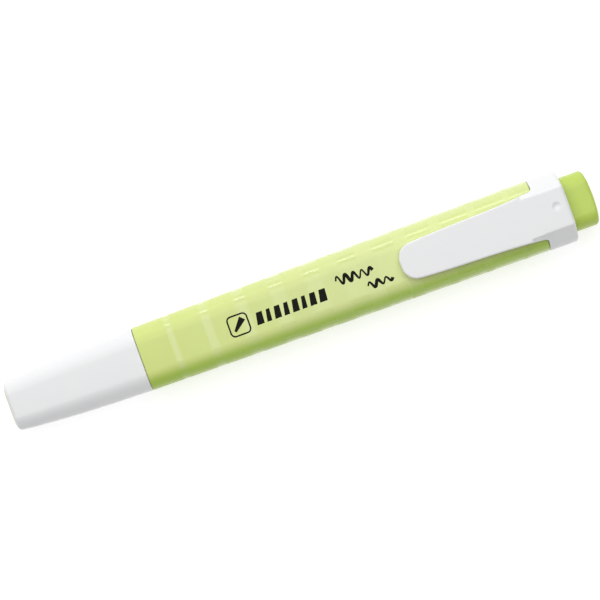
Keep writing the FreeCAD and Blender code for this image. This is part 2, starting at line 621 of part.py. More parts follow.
def make_clip_arm():
    """Clip arm: a springy tongue from the ring's flat top, with a rounded tip and a bead under it.

    Its side profile is padded across the pen, and what lies outside its plan is cut away.
    """
    body = new_body("clip_arm")
    root = f"({RING_FRONT} - {cell('clip_gap')})"
    tip = f"({RING_FRONT} - {cell('clip_length')})"
    top = f"({CLIP_TOP} - {AXIS_HEIGHT})"
    tip_top = f"({top} - {cell('clip_drop')})"
    tip_under = f"({tip_top} - {cell('clip_tip_thick')})"
    bead_x = f"({tip} + {cell('bead_centre')})"
    profile = polygon_sketch(body, "side_profile", "XZ_Plane", "0", (
        (root, top),
        (tip, tip_top),
        (tip, tip_under),
        (f"({bead_x} - {cell('bead_radius')})", tip_under),
        (f"({bead_x} - {cell('bead_radius')} / 2)", f"({tip_under} - {cell('bead_drop')})"),
        (f"({bead_x} + {cell('bead_radius')} / 2)", f"({tip_under} - {cell('bead_drop')})"),
        (f"({bead_x} + {cell('bead_radius')})", tip_under),
        (root, f"({top} - {cell('clip_thick')})"),
    ))
    pad = extrude(body, "Pad", "tongue", profile, f"2 * {cell('clip_root_half_width')} + 1")
    pad.Midplane = True
    plan = plane_sketch(body, "plan_outline", "XY_Plane", "0")
    wide = f"({cell('clip_root_half_width')} + 1)"
    add_polygon(plan, (
        (f"({root} + 2)", f"-{wide}"),
        (f"({root} + 2)", wide),
        (f"({tip} - 1)", wide),
        (f"({tip} - 1)", f"-{wide}"),
    ))
    mid = f"({RING_FRONT} - {cell('clip_mid_station')})"
    half_outline = (
        (f"({root} + 1)", cell("clip_root_half_width")),
        (mid, cell("clip_mid_half_width")),
        (tip, cell("clip_tip_half_width")),
    )
    lower_outline = tuple((along, f"-{across}") for along, across in reversed(half_outline))
    add_polygon(plan, half_outline + lower_outline, 4)
    through(body, "Pocket", "plan_cut", plan)
    tip_x = number(tip)

    def tip_corner(edge):
        return lies_across(edge, tip_x) and edge.BoundBox.YLength < 0.01

    round_edges(body, "tip_rounding", cell("clip_tip_radius"), tip_corner)
    root_x = number(root)
    under = number(f"({top} - {cell('clip_drop')} - 0.1)")

    def upper_edge(edge):
        box = edge.BoundBox
        return box.ZMin > under and not lies_across(edge, root_x)

    round_edges(body, "edge_rounding", cell("clip_edge_radius"), upper_edge)
    foot = f"({cell('ring_half_width')} - {cell('saddle_foot_inset')})"
    facets = plane_sketch(body, "facet_outline", "YZ_Plane", root)
    for index, side in enumerate(("", "-")):
        add_polygon(facets, (
            (f"{side}{cell('saddle_half_width')}", top),
            (f"{side}{foot}", cell("saddle_foot")),
            (f"{side}{foot}", top),
        ), 3 * index)
    extrude(body, "Pocket", "facets", facets, cell("facet_reach"))
    return body


def check_document(bodies):
    """Stops when any object failed or any piece is not one sound solid."""
    for item in doc.Objects:
        if "Invalid" in item.State or "Error" in item.State:
            raise RuntimeError(f"{item.Name} failed: {item.State}")
    for body in bodies:
        shape = body.Shape
        if shape.isNull() or not shape.isValid() or len(shape.Solids) != 1:
            raise RuntimeError(f"{body.Label} is not one valid solid")


bodies = [
    make_cap_shell(),
    make_cap_insert(),
    make_nib(),
    make_nib_holder(),
    make_reservoir_core(),
    make_reservoir_film(),
    make_barrel(),
    make_clip_ring(),
    make_clip_arm(),
    make_rear_plug(),
]
doc.recompute()
check_document(bodies)
os.makedirs("parts", exist_ok=True)
for body in bodies:
    body.Shape.exportStep(f"parts/{body.Label}.step")
    box = body.Shape.BoundBox
    print(f"{body.Label:16s} {body.Shape.Volume:9.1f} mm3  x {box.XMin:.2f}..{box.XMax:.2f}"
          f"  y {box.YMin:.2f}..{box.YMax:.2f}  z {box.ZMin:.2f}..{box.ZMax:.2f}")
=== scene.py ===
import math

import bpy
import numpy as np
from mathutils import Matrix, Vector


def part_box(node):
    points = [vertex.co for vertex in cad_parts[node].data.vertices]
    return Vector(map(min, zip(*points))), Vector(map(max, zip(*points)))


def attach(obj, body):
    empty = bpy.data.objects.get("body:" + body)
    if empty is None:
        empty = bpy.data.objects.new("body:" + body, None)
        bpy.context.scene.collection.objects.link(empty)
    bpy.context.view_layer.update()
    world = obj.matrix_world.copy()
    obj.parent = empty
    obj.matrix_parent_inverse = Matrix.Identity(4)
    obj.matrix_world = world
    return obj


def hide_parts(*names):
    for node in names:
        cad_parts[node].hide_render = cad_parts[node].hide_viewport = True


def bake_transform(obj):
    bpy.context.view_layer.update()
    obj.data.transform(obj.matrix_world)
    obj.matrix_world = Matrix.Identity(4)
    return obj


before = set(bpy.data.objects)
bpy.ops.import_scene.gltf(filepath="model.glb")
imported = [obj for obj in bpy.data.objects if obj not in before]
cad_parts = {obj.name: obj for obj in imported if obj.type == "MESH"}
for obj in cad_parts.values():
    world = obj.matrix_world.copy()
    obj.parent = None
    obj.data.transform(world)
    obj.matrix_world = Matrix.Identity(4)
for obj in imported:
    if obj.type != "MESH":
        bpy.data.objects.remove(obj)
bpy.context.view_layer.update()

# ---------------------------------------------------------------- barrel
# The barrel is a tube of pastel lime polypropylene, injection moulded, with a flat oval section
# and a straight taper. Its mould is polished in bands across the pen and spark-eroded between
# them, so glossy and satin bands take turns. Everything else is pressed into its two ends.
MM = 0.001
TURNS = 224
ARC_POINTS = 8
SHARP_ANGLE = math.radians(35)
PEN_SECTION = {"thick": 0.75, "side": 1.35, "corner": 0.56, "face": 30.0}
barrel_low, barrel_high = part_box("barrel")
JOINT_X = barrel_low.x
RING_X = barrel_high.x
AXIS_Z = (barrel_low.z + barrel_high.z) / 2
REAR_HALF = barrel_high.y
FRONT_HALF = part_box("cap_shell")[1].y
BARREL_WALL = 1.1 * MM
LIP_ROUND = 0.14 * MM
HAIRLINE = 0.12 * MM
# Satin bands shrink by a step each from the cap to the clip ring, at an unchanging pitch. Their
# edges fade into the polish over a short way on either side.
BAND_PITCH = 8.03 * MM
FIRST_SATIN = JOINT_X + 3.4 * MM
SATIN_WIDTH = 7.1 * MM
SATIN_STEP = 0.6 * MM
BAND_FADE = 0.3 * MM


def flat_oval(turns, thick, side, corner, face):
    """A flat oval section for a half width of 1: each point's place, and its outward normal.

    Four sides, arcs of large radius, are joined by four corner arcs, each touching the next. thick
    is the half thickness, and side, corner and face are the arcs' radii, in half widths. The
    points are evenly spaced round the outline and start in the middle of the +Y side.
    """
    side_y, face_z = 1 - side, thick - face
    to_side, to_face = side - corner, face - corner
    apart = math.hypot(side_y, face_z)
    along = (to_side ** 2 - to_face ** 2 + apart ** 2) / (2 * apart)
    off = math.sqrt(to_side ** 2 - along ** 2)
    corner_y = side_y - (along * side_y + off * face_z) / apart
    corner_z = (along * face_z - off * side_y) / apart
    low = math.atan2(corner_z, corner_y - side_y)
    high = math.atan2(corner_z - face_z, corner_y)
    ends = np.cumsum([0, side * low, corner * (high - low), face * (math.pi / 2 - high)])
    length = np.arange(turns) / turns * 4 * ends[-1]
    quarter = np.floor(length / ends[-1] + 1e-9).astype(int)
    reach = length - quarter * ends[-1]
    reach = np.where(quarter % 2 == 1, ends[-1] - reach, reach)
    angle = np.interp(reach, ends, [0, low, high, math.pi / 2])
    on_arc = [reach < ends[1], reach < ends[2]]
    centre = np.stack([np.select(on_arc, [side_y, corner_y], 0),
                       np.select(on_arc, [0, corner_z], face_z)], 1)
    mirror = np.stack([np.where((quarter == 1) | (quarter == 2), -1, 1),
                       np.where(quarter >= 2, -1, 1)], 1)
    normal = np.stack([np.cos(angle), np.sin(angle)], 1) * mirror
    return centre * mirror + np.select(on_arc, [side, corner], face)[:, None] * normal, normal


PEN = flat_oval(TURNS, **PEN_SECTION)


def rings(x, half_width, depth, section=PEN):
    """One ring of points across the pen per station: a section at a half width, moved in by a depth.

    A half width of 0 and a negative depth give a circle of that radius.
    """
    x, half_width, depth = np.broadcast_arrays(*(np.asarray(v, float) for v in (x, half_width, depth)))
    place, normal = section
    across = half_width[:, None, None] * place - depth[:, None, None] * normal
    along = np.repeat(x[:, None, None], len(place), 1)
    return np.concatenate([along, across + [0, AXIS_Z]], 2)


def path(corners, closed=True, step=1.0 * MM):
    """A path through corners (a, b, radius): each corner is an arc that touches the runs beside it.

    Straight runs are cut into steps, so that a surface carried along the path can curve.
    """
    points = np.array([corner[:2] for corner in corners], float)
    pieces = []
    for index, (_, _, radius) in enumerate(corners):
        here = points[index]
        if radius == 0:
            pieces.append(here[None])
            continue
        back, ahead = points[index - 1] - here, points[(index + 1) % len(points)] - here
        back, ahead = back / np.linalg.norm(back), ahead / np.linalg.norm(ahead)
        half = math.acos(back @ ahead) / 2
        centre = here + (back + ahead) / np.linalg.norm(back + ahead) * radius / math.sin(half)
        start = here + back * radius / math.tan(half) - centre
        stop = here + ahead * radius / math.tan(half) - centre
        turn, share = math.pi - 2 * half, np.linspace(0, 1, ARC_POINTS)[:, None]
        swing = start * np.sin((1 - share) * turn) + stop * np.sin(share * turn)
        pieces.append(centre + swing / math.sin(turn))
    line = np.concatenate(pieces + ([pieces[0][:1]] if closed else []))
    runs = [np.linspace(a, b, max(1, round(float(np.linalg.norm(b - a)) / step)), endpoint=False)
            for a, b in zip(line[:-1], line[1:])]
    return np.concatenate(runs + ([] if closed else [line[-1:]]))


def wrap(grid, ends="fan"):
    """The points and faces of a surface over a grid (rows, points round, 3), closed round each row.

    ends is "join", which joins the last row to the first, "fan", which shuts each end row by a fan
    to its middle, or "strip", which shuts it by quads from each point to its mirror point in the
    row. The faces are turned outwards by the sign of the volume they hold.
    """
    rows, count = grid.shape[:2]
    points = grid.reshape(-1, 3)
    row, turn = np.arange(rows if ends == "join" else rows - 1)[:, None], np.arange(count)[None]
    after, beside = (row + 1) % rows, (turn + 1) % count
    faces = np.stack([row * count + turn, row * count + beside,
                      after * count + beside, after * count + turn], 2).reshape(-1, 4)
    corner = points[faces[:, [0, 1, 2, 0, 2, 3]].reshape(-1, 3)] - points.mean(0)
    volume = np.einsum("ij,ij->", corner[:, 0], np.cross(corner[:, 1], corner[:, 2]))
    shut, last = np.zeros((0, 3), int), (rows - 1) * count
    if ends == "fan":
        middle = len(points)
        points = np.concatenate([points, grid[:1].mean(1), grid[-1:].mean(1)])
        shut = np.concatenate([np.stack([np.full(count, middle), beside[0], turn[0]], 1),
                               np.stack([np.full(count, middle + 1), last + turn[0], last + beside[0]], 1)])
    if ends == "strip":
        near = np.arange(count // 2 - 1)
        strip = np.stack([near, count - 1 - near, count - 2 - near, near + 1], 1)
        shut = np.concatenate([strip, last + strip[:, ::-1]])
    if volume < 0:
        faces, shut = faces[:, ::-1], shut[:, ::-1]
    return points, faces.tolist() + shut.tolist()


def mould(name, *surfaces):
    """One smooth piece made of wrapped surfaces, with an edge where two faces turn past SHARP_ANGLE."""
    points, faces = [], []
    for surface_points, surface_faces in surfaces:
        first = sum(map(len, points))
        points.append(surface_points)
        faces += [[first + corner for corner in face] for face in surface_faces]
    mesh = bpy.data.meshes.new(name)
    mesh.from_pydata(np.concatenate(points).tolist(), [], faces)
    mesh.polygons.foreach_set("use_smooth", np.ones(len(mesh.polygons), bool))
    mesh.set_sharp_from_angle(angle=SHARP_ANGLE)
    piece = bpy.data.objects.new(name, mesh)
    bpy.context.scene.collection.objects.link(piece)
    return piece


def fit(piece, material, body, slot, *nodes):
    """Gives a piece its material and its body, and hides the CAD nodes it stands for. The record slot is
    not used.
    """
    piece.data.materials.append(material)
    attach(piece, body)
    if nodes:
        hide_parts(*nodes)


def linear(code):
    """An sRGB hex colour as the linear RGBA that the nodes use."""
    channels = np.array([int(code[i:i + 2], 16) for i in (1, 3, 5)]) / 255
    low, high = channels / 12.92, ((channels + 0.055) / 1.055) ** 2.4
    return tuple(np.where(channels <= 0.04045, low, high)) + (1,)


def start_material(name):
    """A new material, with its Principled shader and the piece's own coordinates."""
    material = bpy.data.materials.new(name)
    material.use_nodes = True
    shader = material.node_tree.nodes["Principled BSDF"]
    return material, shader, material.node_tree.nodes.new("ShaderNodeTexCoord").outputs["Object"]


def add(shader, kind, inputs, output=0, **settings):
    """Adds a node beside a shader and returns an output. An input is a value or another output."""
    tree = shader.id_data
    made = tree.nodes.new("ShaderNode" + kind)
    for key, value in settings.items():
        setattr(made, key, value)
    for key, value in inputs.items():
        if isinstance(value, bpy.types.NodeSocket):
            tree.links.new(value, made.inputs[key])
        else:
            made.inputs[key].default_value = value
    return made.outputs[output]


def dress(shader, **inputs):
    """Sets or links the shader's own sockets. An underscore stands for a space."""
    for key, value in inputs.items():
        socket = shader.inputs[key.replace("_", " ")]
        if isinstance(value, bpy.types.NodeSocket):
            shader.id_data.links.new(value, socket)
        else:
            socket.default_value = value


def barrel_half(x):
    """Half width of the barrel: a straight line from the joint to the clip ring."""
    return np.interp(x, [JOINT_X, RING_X], [FRONT_HALF, REAR_HALF])


def barrel_top(x, y):
    """Height of the barrel's upper surface at a place: the section's height there, scaled."""
    upper = PEN[0][PEN[0][:, 1] > 0]
    order = np.argsort(upper[:, 0])
    half = barrel_half(x)
    return AXIS_Z + half * np.interp(y / half, upper[order, 0], upper[order, 1])


wall = path([(JOINT_X, 0, LIP_ROUND), (RING_X - HAIRLINE, 0, LIP_ROUND),
             (RING_X - HAIRLINE, BARREL_WALL, 0), (JOINT_X, BARREL_WALL, 0)])
barrel = mould("barrel_tube", wrap(rings(wall[:, 0], barrel_half(wall[:, 0]), wall[:, 1]), ends="join"))
# Weight of the painted shade: how far each point's normal leans to -Y, away from the lamps.
painted_shade_side = barrel.data.attributes.new("painted_shade_side", "FLOAT", "POINT")
painted_shade_side.data.foreach_set("value", np.tile(-PEN[1][:, 0], len(wall)))

# Polypropylene, pigmented pastel lime. A polished band mirrors the lamps as a thin bright line and
# an eroded one spreads them to a sheen. Painted reflection: the eroded bands' tone pales along the
# barrel from the joint towards the rear. Painted shade: the tint is made darker and greener on the
# -Y side, facing away from the lamps, most at the corners, less in the middle.
pastel, shader, place = start_material("polypropylene_pastel_lime")
station = add(shader, "SeparateXYZ", {0: place})
from_first = add(shader, "Math", {0: station, 1: FIRST_SATIN}, operation="SUBTRACT")
number = add(shader, "Math", {0: from_first, 1: BAND_PITCH}, operation="DIVIDE")
number = add(shader, "Math", {0: number}, operation="ROUND")
off_centre = add(shader, "Math", {0: number, 1: -BAND_PITCH, 2: from_first}, operation="MULTIPLY_ADD")
off_centre = add(shader, "Math", {0: off_centre}, operation="ABSOLUTE")
half_satin = add(shader, "Math", {0: number, 1: -SATIN_STEP / 2, 2: SATIN_WIDTH / 2},
                 operation="MULTIPLY_ADD")
past_satin = add(shader, "Math", {0: off_centre, 1: half_satin}, operation="SUBTRACT")
polish = add(shader, "MapRange", {0: past_satin, 1: -BAND_FADE, 2: BAND_FADE},
             interpolation_type="SMOOTHSTEP")
# Painted reflection: the eroded bands' tone goes from a duller lime at the joint to a paler one at x = 15
# mm, like the overhead lamp's sheen.
along = add(shader, "MapRange", {0: station, 1: JOINT_X, 2: 15 * MM})
satin_and_painted_sheen = add(shader, "Mix", {0: along, 6: linear("#D8E685"), 7: linear("#E0EBA0")}, 2, data_type="RGBA")
tint = add(shader, "Mix", {0: polish, 6: satin_and_painted_sheen, 7: linear("#DEEA9C")}, 2, data_type="RGBA")
# Painted shade: the -Y side is mixed towards a deep green, easing off a little at the very side.
away = add(shader, "Attribute", {}, 2, attribute_name="painted_shade_side")
painted_shade = add(shader, "MapRange", {0: away, 1: 0.16, 2: 0.72, 3: 0.0, 4: 0.66},
             interpolation_type="SMOOTHSTEP")
fade = add(shader, "MapRange", {0: away, 1: 0.8, 2: 1.0, 3: 1.0, 4: 0.6},
           interpolation_type="SMOOTHSTEP")
painted_shade = add(shader, "Math", {0: painted_shade, 1: fade}, operation="MULTIPLY")
tint = add(shader, "Mix", {0: painted_shade, 6: tint, 7: linear("#A0CC14")}, 2, data_type="RGBA")
mottle = add(shader, "TexNoise", {"Vector": place, "Scale": 1 / (9 * MM)})
mottle = add(shader, "MapRange", {0: mottle, 1: 0.3, 2: 0.7, 3: 0.985, 4: 1.015})
tint = add(shader, "HueSaturation", {"Value": mottle, "Color": tint})
gloss_patch = add(shader, "TexNoise", {"Vector": place, "Scale": 1 / (2.5 * MM)})
gloss_patch = add(shader, "MapRange", {0: gloss_patch, 1: 0.3, 2: 0.7, 3: -0.03, 4: 0.03})
rough = add(shader, "MapRange", {0: polish, 3: 0.42, 4: 0.2})
rough = add(shader, "Math", {0: rough, 1: gloss_patch})
grain = add(shader, "TexNoise", {"Vector": place, "Scale": 1 / (0.16 * MM)})
eroded = add(shader, "Math", {0: 1.0, 1: polish}, operation="SUBTRACT")
grain = add(shader, "Math", {0: grain, 1: eroded}, operation="MULTIPLY")
grain = add(shader, "Bump", {"Height": grain, "Strength": 0.6, "Distance": 0.004 * MM})
dress(shader, Base_Color=tint, Roughness=rough, IOR=1.49, Normal=grain)
fit(barrel, pastel, "barrel", "pastel_barrel", "barrel")

# ---------------------------------------------------------------- barrel print
# Black ink pad-printed on the barrel's face: a plain mark with a chisel stroke in it, a row of
# slanted bars, and two loose pen waves. None of it is a letter. The ink stands 12 micrometres proud.
INK_PROUD = 0.012 * MM
MARK_X, MARK_Y = -14.0 * MM, -0.13 * MM
MARK_HALF = 2.15 * MM
MARK_ROUND = 0.9 * MM
MARK_LINE = 0.34 * MM
SLASH_REACH = 2.3 * MM
BARS_X = np.array([-10.3, -8.1, -6.3, -4.2, -2.3, -0.2, 1.6, 3.7]) * MM
BARS_WIDE = np.array([1.6, 1.1, 1.5, 1.2, 1.5, 1.1, 1.5, 1.7]) * MM
BARS_LOW, BARS_HIGH = -1.6 * MM, 1.05 * MM
BAR_LEAN = 0.5 * MM
BAR_TAPER = 0.3 * MM
# Each wave's start and stop (x, y) and its rise in mm, and how many times it swings.
WAVES = (((8.3, 1.5), (16.4, 1.15), 0.95, 4.5), ((14.4, -1.75), (19.9, -1.7), 0.7, 3.0))
WAVE_LINE = 0.54 * MM


def inked(left, right):
    """A layer of ink between two edge lines (points x, y), laid on the barrel's upper face."""
    across = left[:, None] + np.linspace(0, 1, 6)[:, None] * (right - left)[:, None]
    height = barrel_top(across[:, :, 0], across[:, :, 1])[:, :, None]
    upper = np.concatenate([across, height + INK_PROUD], 2)
    lower = np.concatenate([across, height - INK_PROUD], 2)[:, ::-1]
    return wrap(np.concatenate([upper, lower], 1))


def stroke(line, wide):
    """The two edges of a pen stroke of a given width along a line (points x, y)."""
    run = np.gradient(line, axis=0)
    side = run[:, ::-1] * [-1, 1] / np.linalg.norm(run, axis=1)[:, None]
    half = np.broadcast_to(np.asarray(wide) / 2, len(line))[:, None]
    return line + side * half, line - side * half


square = path([(a * MARK_HALF, b * MARK_HALF, MARK_ROUND) for a, b in ((1, -1), (1, 1), (-1, 1), (-1, -1))],
              step=0.3 * MM) + [MARK_X, MARK_Y]
share = np.linspace(0, 1, 24)[:, None]
slash = np.array([MARK_X, MARK_Y]) + (share - 0.5) * [SLASH_REACH, SLASH_REACH]
shapes = [stroke(np.concatenate([square, square[:1]]), MARK_LINE),
          stroke(slash, (0.55 + 0.9 * share[:, 0]) * MM)]
for x, wide in zip(BARS_X, BARS_WIDE):
    low = np.array([x, BARS_LOW])
    rise = share * [BAR_LEAN, BARS_HIGH - BARS_LOW]
    shapes.append((low + rise, low + rise + [wide, 0] - share * [BAR_TAPER, 0]))
for start, stop, rise, swings in WAVES:
    reach = np.linspace(0, 1, 120)[:, None]
    wave = (start + reach * (np.array(stop) - start)) * MM
    wave[:, 1] += rise * MM * np.sin(reach[:, 0] * swings * 2 * math.pi) * (1 - 0.3 * reach[:, 0])
    shapes.append(stroke(wave, (1 - 0.35 * np.cos(reach[:, 0] * 9)) * WAVE_LINE))
ink_print = mould("barrel_print", *(inked(left, right) for left, right in shapes))

# Pad-printing ink: near black with an olive cast, almost matt, and a little thin where the pad lifted.
black_ink, shader, place = start_material("pad_printing_ink_black")
thin = add(shader, "TexNoise", {"Vector": place, "Scale": 1 / (0.5 * MM)})
thin = add(shader, "MapRange", {0: thin, 1: 0.35, 2: 0.7})
tone = add(shader, "Mix", {0: thin, 6: linear("#0A0D06"), 7: linear("#14180C")}, 2, data_type="RGBA")
dress(shader, Base_Color=tone, Roughness=0.7, IOR=1.48, Specular_IOR_Level=0.2)
ink_print.data.materials.append(black_ink)
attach(ink_print, "barrel")

# ---------------------------------------------------------------- ink reservoir
# A rod of bonded polyester fibre soaked in lime ink, wrapped in clear film. It is slid into the
# barrel from the front and never seen again once the nose is pressed in.
fibre, shader, place = start_material("polyester_fibre_inked")
stretched = add(shader, "Mapping", {0: place, 3: (0.04, 1, 1)})
threads = add(shader, "TexNoise", {"Vector": stretched, "Scale": 1 / (0.25 * MM), "Detail": 3.0})
soaked = add(shader, "Mix", {0: threads, 6: linear("#A4C42E"), 7: linear("#C8E25C")}, 2, data_type="RGBA")
dress(shader, Base_Color=soaked, Roughness=0.95)
film, shader, place = start_material("polyester_film")
crinkle = add(shader, "TexNoise", {"Vector": place, "Scale": 1 / (1.5 * MM)})
crinkle = add(shader, "Bump", {"Height": crinkle, "Strength": 0.3, "Distance": 0.05 * MM})
dress(shader, Base_Color=linear("#DDE8B4"), Roughness=0.25, IOR=1.58, Normal=crinkle)
for node, material in (("reservoir_core", fibre), ("reservoir_film", film)):
    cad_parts[node].data.materials.clear()
    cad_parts[node].data.materials.append(material)

# ---------------------------------------------------------------- nose
# The nose is white polypropylene: a skirt pressed into the barrel, a flat oval neck with a bead
# that the cap clicks over, and a cone and round tube that grip the nib.
nose_low, nose_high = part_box("nib_holder")
nib_low, nib_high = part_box("nib")
NIB_HALF = nib_high.y
NIB_SECTION = {"thick": 0.667, "side": 7.0, "corner": 0.2, "face": 12.0}
CAP_SLOPE = 0.026
CAP_CURVE = 0.0000325 / MM ** 2
NECK_DEPTH = 0.98 * MM
BEAD_RISE = 0.04 * MM
BEAD_HALF = 0.5 * MM
NECK_END = JOINT_X - 9.5 * MM
NECK_CHAMFER, CHAMFER_LENGTH = 0.35 * MM, 0.4 * MM
BEAD_MIDDLE = JOINT_X - 6.9 * MM
NOSE_RADIUS = 3.0 * MM
NOSE_ROUND = 0.35 * MM
SHOULDER_RADIUS = 4.0 * MM
CONE_LENGTH, CONE_ROUND = 3.0 * MM, 1.5 * MM
FACE_RADIUS = 2.5 * MM
SOCKET_DEPTH = 2.0 * MM
SOCKET_GAP = 0.03 * MM
NIB = flat_oval(TURNS, **NIB_SECTION)


def cap_half(x):
    """Half width of the cap: it narrows by length, and faster by length cubed, from the joint."""
    reach = JOINT_X - x
    return FRONT_HALF - CAP_SLOPE * reach - CAP_CURVE * reach ** 3


def neck_depth(x):
    """Depth of the neck under the cap's outer surface, less a bead with a round section."""
    bead = np.clip(1 - ((x - BEAD_MIDDLE) / BEAD_HALF) ** 2, 0, None)
    return NECK_DEPTH - BEAD_RISE * np.sqrt(bead)


skirt_x = np.linspace(nose_high.x, JOINT_X, 8)
neck_x = np.concatenate([np.linspace(JOINT_X, NECK_END + CHAMFER_LENGTH, 60), [NECK_END]])
neck = rings(neck_x, cap_half(neck_x),
             neck_depth(neck_x) + np.where(neck_x == NECK_END, NECK_CHAMFER, 0))
cone = path([(NECK_END, SHOULDER_RADIUS, 0), (NECK_END - CONE_LENGTH, NOSE_RADIUS, CONE_ROUND),
             (nose_low.x, NOSE_RADIUS, NOSE_ROUND), (nose_low.x, FACE_RADIUS, 0)], closed=False)
nose = mould("nose", wrap(np.concatenate([
    rings(skirt_x, barrel_half(skirt_x), BARREL_WALL),
    neck,
    rings(cone[:, 0], 0, -cone[:, 1]),
    rings([nose_low.x, nose_low.x + SOCKET_DEPTH], NIB_HALF, -SOCKET_GAP, NIB),
])))

# Polypropylene, pigmented white. The eroded mould leaves a fine satin grain, and the gloss
# wanders a little where the plastic cooled last.
white, shader, place = start_material("polypropylene_white")
patch = add(shader, "TexNoise", {"Vector": place, "Scale": 1 / (6 * MM)})
rough = add(shader, "MapRange", {0: patch, 1: 0.3, 2: 0.7, 3: 0.36, 4: 0.44})
tone = add(shader, "Mix", {0: patch, 6: linear("#F1F2F3"), 7: linear("#F5F6F6")}, 2, data_type="RGBA")
grain = add(shader, "TexNoise", {"Vector": place, "Scale": 1 / (0.18 * MM)})
grain = add(shader, "Bump", {"Height": grain, "Strength": 0.5, "Distance": 0.004 * MM})
dress(shader, Base_Color=tone, Roughness=rough, IOR=1.49, Normal=grain)
fit(nose, white, "barrel", "white_polypropylene", "nib_holder")

# ---------------------------------------------------------------- nib
# The nib is a bar of pressed polyester fibre with a slanted chisel tip, soaked in lime ink. It is
# pushed through the nose until its tail reaches the reservoir.
NIB_SLANT = 3.4 * MM
NIB_BEVEL = 0.9 * MM
BEVEL_LENGTH = 4.5 * MM
NIB_EDGE = 0.25 * MM
EDGE_SHARE = 0.06
GRIP_LENGTH = 8.5 * MM
TAIL_DEPTH = 0.6 * MM
TAIL_CHAMFER = 1.0 * MM
grip_end = nose_low.x + GRIP_LENGTH
share = np.linspace(0, 1, 24)
blunt = 1 - np.sqrt(np.clip(1 - (1 - np.clip(share / EDGE_SHARE, 0, 1)) ** 2, 0, 1))
bar = rings(np.zeros(len(share)), NIB_HALF, NIB_EDGE * blunt, NIB)
slanted = nib_low.x + (NIB_HALF - bar[:, :, 1]) / (2 * NIB_HALF) * NIB_SLANT
bar[:, :, 0] = slanted * (1 - share[:, None]) + nose_low.x * share[:, None]
nib_half_thick = NIB_HALF * NIB_SECTION["thick"]
thin = 1 - NIB_BEVEL / nib_half_thick * np.clip(1 - (bar[:, :, 0] - nib_low.x) / BEVEL_LENGTH, 0, 1)
bar[:, :, 2] = AXIS_Z + (bar[:, :, 2] - AXIS_Z) * thin
tail_x = [grip_end, nib_high.x - TAIL_CHAMFER, nib_high.x]
nib = mould("nib_bar", wrap(np.concatenate([
    bar,
    rings([grip_end], NIB_HALF, 0, NIB),
    rings(tail_x, NIB_HALF, [TAIL_DEPTH, TAIL_DEPTH, 2 * TAIL_DEPTH], NIB),
])))

# Pressed felt: matt, with fibres that run along the nib and a darker look where the ink sits.
felt, shader, place = start_material("polyester_felt_inked")
stretched = add(shader, "Mapping", {0: place, 3: (0.2, 1, 1)})
threads = add(shader, "TexNoise", {"Vector": stretched, "Scale": 1 / (0.12 * MM), "Detail": 4.0})
soaked = add(shader, "Mix", {0: threads, 6: linear("#A2C428"), 7: linear("#CBE65E")}, 2, data_type="RGBA")
rise = add(shader, "Bump", {"Height": threads, "Strength": 0.7, "Distance": 0.04 * MM})
dress(shader, Base_Color=soaked, Roughness=0.85, Sheen_Weight=0.2, Normal=rise)
fit(nib, felt, "barrel", "nib_fibre", "nib")

# ---------------------------------------------------------------- clip ring
# The ring closes the barrel's rear. It is white polypropylene, moulded in one with the clip arm:
# the barrel's flat oval below, and above it two sloped facets up to a flat top. A small round
# dimple in the flat top is where the plastic was let into the mould.
ring_low, ring_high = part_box("clip_ring")
TOP_Z = ring_high.z
RING_HALF = ring_high.y
RING_END = ring_high.x
FLAT_HALF = 4.25 * MM
FLAT_ROUND = 0.5 * MM
RING_ROUND = 0.8 * MM
MOUTH_DEPTH = 1.3 * MM
MOUTH_INSET = 0.8 * MM
SKIRT_WALL = 1.0 * MM
GATE_X = RING_END - 2.65 * MM
GATE_Y = 0.5 * MM
GATE_RADIUS = 1.0 * MM
GATE_DEPTH = 0.28 * MM
GATE_POWER = 1.2
FINE_TURNS = 4000
OVAL_POINTS, FACET_POINTS, CORNER_POINTS, FLAT_POINTS = 60, 12, 10, 39


def saddle_outline(half_width, top, flat_half):
    """The ring's outline: the flat oval, left on a tangent by two facets that end at a flat top.

    The lean of a facet is the lean of the oval's normal where a line to the flat's edge touches it.
    Returns points, normals, and a share that is 0 on the facets and the flat top and 1 elsewhere.
    """
    place, normal = flat_oval(FINE_TURNS, **PEN_SECTION)
    place, quarter = place * half_width, FINE_TURNS // 4
    edge = np.array([flat_half, top])
    touch = int(np.argmin(np.abs(((edge - place[:quarter]) * normal[:quarter]).sum(1))))
    lean = math.atan2(normal[touch, 1], normal[touch, 0])
    corner_centre = edge - FLAT_ROUND * np.array([math.tan((math.pi / 2 - lean) / 2), 1])
    turn = np.linspace(lean, math.pi / 2, CORNER_POINTS)
    corner_normal = np.stack([np.cos(turn), np.sin(turn)], 1)
    corner = corner_centre + FLAT_ROUND * corner_normal
    lower = np.linspace(3 * quarter, FINE_TURNS + touch, OVAL_POINTS).round().astype(int) % FINE_TURNS
    facet = np.linspace(place[touch], corner[0], FACET_POINTS + 2)[1:-1]
    flat = np.linspace(corner[-1], [0, top], FLAT_POINTS + 1)[1:]
    points = np.concatenate([place[lower], facet, corner, flat])
    normals = np.concatenate([normal[lower], np.repeat(normal[touch][None], FACET_POINTS, 0),
                              corner_normal, np.repeat([[0.0, 1.0]], FLAT_POINTS, 0)])
    on_oval = np.concatenate([np.ones(OVAL_POINTS), np.zeros(len(points) - OVAL_POINTS)])
    start = int(np.argmin(np.abs(points[:, 1])))
    halves = [(side, side[::-1][1:-1] * mirror) for side, mirror in
              ((points, [-1, 1]), (normals, [-1, 1]), (on_oval[:, None], [1]))]
    return [np.roll(np.concatenate(pair), -start, 0) for pair in halves]


